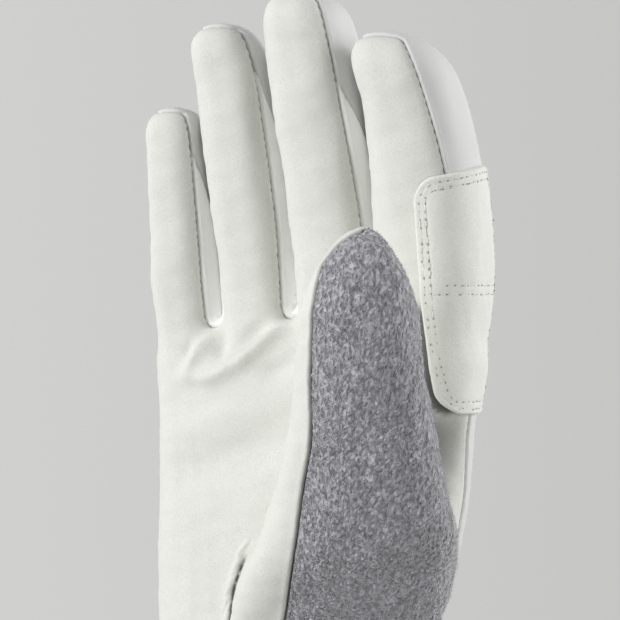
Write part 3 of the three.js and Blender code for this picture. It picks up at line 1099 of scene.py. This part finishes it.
def fibre_shape(name, length, width):
    """One short bent fibre that stands on its root."""
    points, faces = [], []
    for height, bend, share in ((0, 0, 1), (0.5, 0.14, 0.8)):
        for side in range(3):
            turn = 2 * math.pi * side / 3
            points.append((width / 2 * share * math.cos(turn) + bend * length,
                           width / 2 * share * math.sin(turn), height * length))
    points.append((0.45 * length, 0, 0.85 * length))
    for side in range(3):
        after = (side + 1) % 3
        faces.append((side, after, 3 + after, 3 + side))
        faces.append((3 + side, 3 + after, 6))
    return small_object(name, points, faces)


def traced(surface, name, level):
    """The lines along which a value is exactly at a level, as lists of point numbers."""
    at = np.abs(surface.values[name] - level) < 1e-6
    faces = surface.faces
    edges = np.sort(edges_of(faces), axis=1)
    edges = np.unique(edges[at[edges].all(axis=1)], axis=0)
    beside = {}
    for a, b in edges.tolist():
        beside.setdefault(a, set()).add(b)
        beside.setdefault(b, set()).add(a)
    lines = []
    for start in sorted(beside, key=lambda k: (len(beside[k]) != 1, k)):
        while beside[start]:
            line, here = [start], start
            while beside[here]:
                after = min(beside[here])
                beside[here].discard(after)
                beside[after].discard(here)
                line.append(after)
                here = after
            lines.append(line)
    return lines


def spaced(points, pitch, offset=0.0):
    """Places at an even pitch along a line of points, with the line's direction there."""
    step = np.linalg.norm(np.diff(points, axis=0), axis=1)
    run = np.concatenate([[0], np.cumsum(step)])
    if run[-1] < 2 * pitch:
        return np.zeros((0, 3)), np.zeros((0, 3))
    at = np.arange(offset + 0.3 * pitch, run[-1] - 0.2 * pitch, pitch)
    places, ahead, behind = (
        np.stack([np.interp(where, run, points[:, k]) for k in range(3)], axis=1)
        for where in (at, at + 0.4, at - 0.4))
    return places, ahead - behind


def smooth_line(points, rounds=4):
    points = points.copy()
    for _ in range(rounds):
        points[1:-1] = 0.5 * points[1:-1] + 0.25 * (points[:-2] + points[2:])
    return points


# The glove


def make_glove():
    """The whole glove's surface, down to the wrist opening, with the values that part its panels."""
    points, faces = surface_net((-45, -70, -3.3), (62, 30, 233), GRID, glove_field)
    points = settle(glove_field, relax(points, faces, 2))
    surface = Surface(points, faces)
    measure_panels(surface)
    surface.values["open"] = surface.points[:, 2].copy()
    surface.cut("open")
    return surface.part(surface.middle("open") > 0)


def unit(vectors):
    return vectors / np.maximum(np.linalg.norm(vectors, axis=1), 1e-9)[:, None]


def subdivide(surface):
    """Each triangle in four, with the new points on the middles of the edges."""
    faces = surface.faces
    edges = np.sort(edges_of(faces), axis=1)
    pairs, number = np.unique(edges, axis=0, return_inverse=True)
    count = len(surface.points)
    ab, bc, ca = (number.reshape(3, -1) + count)
    a, b, c = faces.T
    made = Surface(np.concatenate([surface.points, surface.points[pairs].mean(axis=1)]), np.concatenate([
        np.stack(t, axis=1) for t in ((a, ab, ca), (ab, b, bc), (ca, bc, c), (ab, bc, ca))]))
    made.values = {key: np.concatenate([value, value[pairs].mean(axis=1)])
                   for key, value in surface.values.items()}
    return made


def tufts(points, seed):
    """The height of the fleece's pile at each point, between 0 and 1: upright pilled tufts."""
    warp = np.stack([waves(points, 5.0, seed + k, 6) for k in range(3)], axis=1)
    squeezed = (points + 0.35 * warp) * (1, 1, 0.6)
    rng = np.random.default_rng(seed)
    seeds = squeezed[rng.permutation(len(points))[:len(points) // 7]]
    tree = KDTree(len(seeds))
    for number, place in enumerate(seeds):
        tree.insert(place, number)
    tree.balance()
    tall = rng.uniform(0.55, 1.0, len(seeds))
    height = np.empty(len(points))
    for i, place in enumerate(squeezed):
        (_, first, d1), (_, _, d2) = tree.find_n(place, 2)
        height[i] = tall[first] * min(1.0, (d2 - d1) / 0.42)
    return height


def make_fleece(panel, material):
    fleece = subdivide(panel)
    outward = normals_of(fleece.points, fleece.faces)
    pile = tufts(fleece.points, 21)
    inside = np.clip(fleece.values["fleece"] / 0.6, 0, 1)
    soft = 0.1 * waves(fleece.points, 4.0, 31)
    fleece.points = fleece.points + outward * (inside * (0.45 * (pile - 0.4) + soft))[:, None]
    piece = mesh_object("thumb_fleece_panel", fleece)
    point_values(piece, "pile", pile)
    finish_piece(piece, material, "grey_fleece", "thumb_fleece")
    fibre = fibre_shape("fibre", 0.8, 0.07)
    fuzz = grown("thumb_fleece_fibres", piece, fibre_group(), {
        "Piece": fibre, "Material": material, "Density": 1.4e6, "Lean": 1.0, "Seed": 5})
    point_values(fuzz, "pile", np.full(len(fuzz.data.vertices), 0.9))
    finish_piece(fuzz, material, "grey_fleece")


def make_patch(surface, leather, hole_shade_paint):
    patch = surface.part(surface.middle("patch") > -1)
    for level in (0.0, 0.3, 0.7, PATCH_ROWS[0], 2.5, PATCH_ROWS[1], 4.4):
        patch.cut("patch", level)
    patch = patch.part(patch.middle("patch") > 0)
    inner = patch.values["patch"]
    patch.values["cross"] = np.where(inner > PATCH_ROWS[1] - 0.1, patch.points[:, 2], -1.0)
    for level in PATCH_CROSS:
        patch.cut("cross", level)
    inner, z = patch.values["patch"], patch.points[:, 2]
    outward = unit(gradient(glove_field, patch.points))
    rim = np.sqrt(np.clip(1 - (1 - np.clip(inner / 0.7, 0, 1)) ** 2, 0, 1))
    height = 0.25 + PATCH_HEIGHT * rim
    stitched = np.clip((inner - 0.7) / 0.6, 0, 1) * np.clip((4.6 - inner) / 1.0, 0, 1)
    height -= 0.07 * stitched
    for row in PATCH_ROWS:
        height -= 0.1 * bell(inner - row, 0.3)
    cross = [bell(z - level, 0.4) for level in PATCH_CROSS]
    height -= 0.15 * np.maximum(*cross) * np.clip((inner - 3.2) / 0.8, 0, 1)
    height += 0.1 * waves(patch.points, 12, 17) + 0.05 * waves(patch.points, 3.5, 19)
    patch.points = patch.points + outward * height[:, None]
    piece = mesh_object("index_patch_panel", patch)
    finish_piece(piece, leather, "white_leather", "index_patch")

    lines = []
    for value, levels in (("patch", PATCH_ROWS), ("cross", PATCH_CROSS)):
        for level in levels:
            lines += traced(patch, value, level)
    holes, threads = [], []
    rng = np.random.default_rng(13)
    for line in lines:
        places = smooth_line(patch.points[line])
        facing = outward[line]
        for target, offset in ((holes, 0.0), (threads, STITCH_PITCH / 2)):
            spots, along = spaced(places, STITCH_PITCH, offset)
            if len(spots):
                spots = spots + rng.normal(scale=0.09, size=spots.shape)
                near = ((spots[:, None] - places) ** 2).sum(axis=2).argmin(axis=1)
                target.append((spots, along, facing[near]))
    rows = row_group()
    # The needle holes are dark beads: painted shade in the holes.
    hole = bead_shape("needle_hole", 0.68, 0.4, 0.24)
    thread = bead_shape("stitch", 1.3, 0.34, 0.3)
    for name, target, shape, paint in (("index_patch_holes", holes, hole, hole_shade_paint),
                                       ("index_patch_stitches", threads, thread, leather)):
        spots, along, facing = (np.concatenate(part) for part in zip(*target))
        base = points_object(name + "_places", spots, along, facing)
        made = grown(name, base, rows, {"Piece": shape, "Material": paint})
        bpy.data.objects.remove(base)
        finish_piece(made, paint, "white_leather")


def main():
    make_camera()
    make_studio()
    make_lights()
    leather = leather_material("white_leather", 230)
    fabric = fabric_material("white_fabric", 218)
    # Painted light: the strips between the fingers have a brighter copy of the white fabric, which lifts them
    # out of the fingers' shade.
    strip = fabric_material("white_side_fabric_painted_light", 252)
    # Painted light: the patch has a brighter copy of the white leather.
    patch_painted_light_leather = leather_material("white_patch_leather_painted_light", 238)
    fleece = fleece_material("grey_fleece", 191)
    hole_shade_paint = hole_shade_material("needle_hole_shade")
    surface = make_glove()
    make_patch(surface, patch_painted_light_leather, hole_shade_paint)

    cut_panels(surface)
    above = surface.points[:, 2] > 1.0
    surface.points[above] = settle(glove_field, surface.points[above], 1)
    outward = unit(gradient(glove_field, surface.points))
    relief = seam_relief(surface, outward)
    relief += fold_relief(surface.points, surface.values["front"])
    values = surface.values
    soft = np.where(values["thumb"] > 0, 1.0, 0.35 + 0.65 * ramp(values["front"] / 5))
    soft = np.where(values["height"] > 0, soft, 0.35)
    relief += soft * (0.28 * waves(surface.points, 16, 3) + 0.1 * waves(surface.points, 6, 5))
    surface.points = surface.points + outward * relief[:, None]

    looks = {
        "palm_leather": (leather, "white_leather"),
        "back_fabric": (fabric, "white_fabric"),
        "thumb_leather": (leather, "white_leather"),
        "wrist_cuff": (fabric, "white_fabric"),
        "fourchette_little_ring": (strip, "white_fabric"),
        "fourchette_ring_middle": (strip, "white_fabric"),
        "fourchette_middle_index": (strip, "white_fabric"),
    }
    panel = label_panels(surface)
    for name, (material, slot) in looks.items():
        part = surface.part(panel == name)
        piece = mesh_object(name + "_panel", part)
        if material == leather:
            # Painted shade in the leather's hollows and creases, kept on its points.
            point_values(piece, "shade", painted_leather_shade(part))
        thicken(piece)
        finish_piece(piece, material, slot, name)
    make_fleece(surface.part(panel == "thumb_fleece"), fleece)


main()
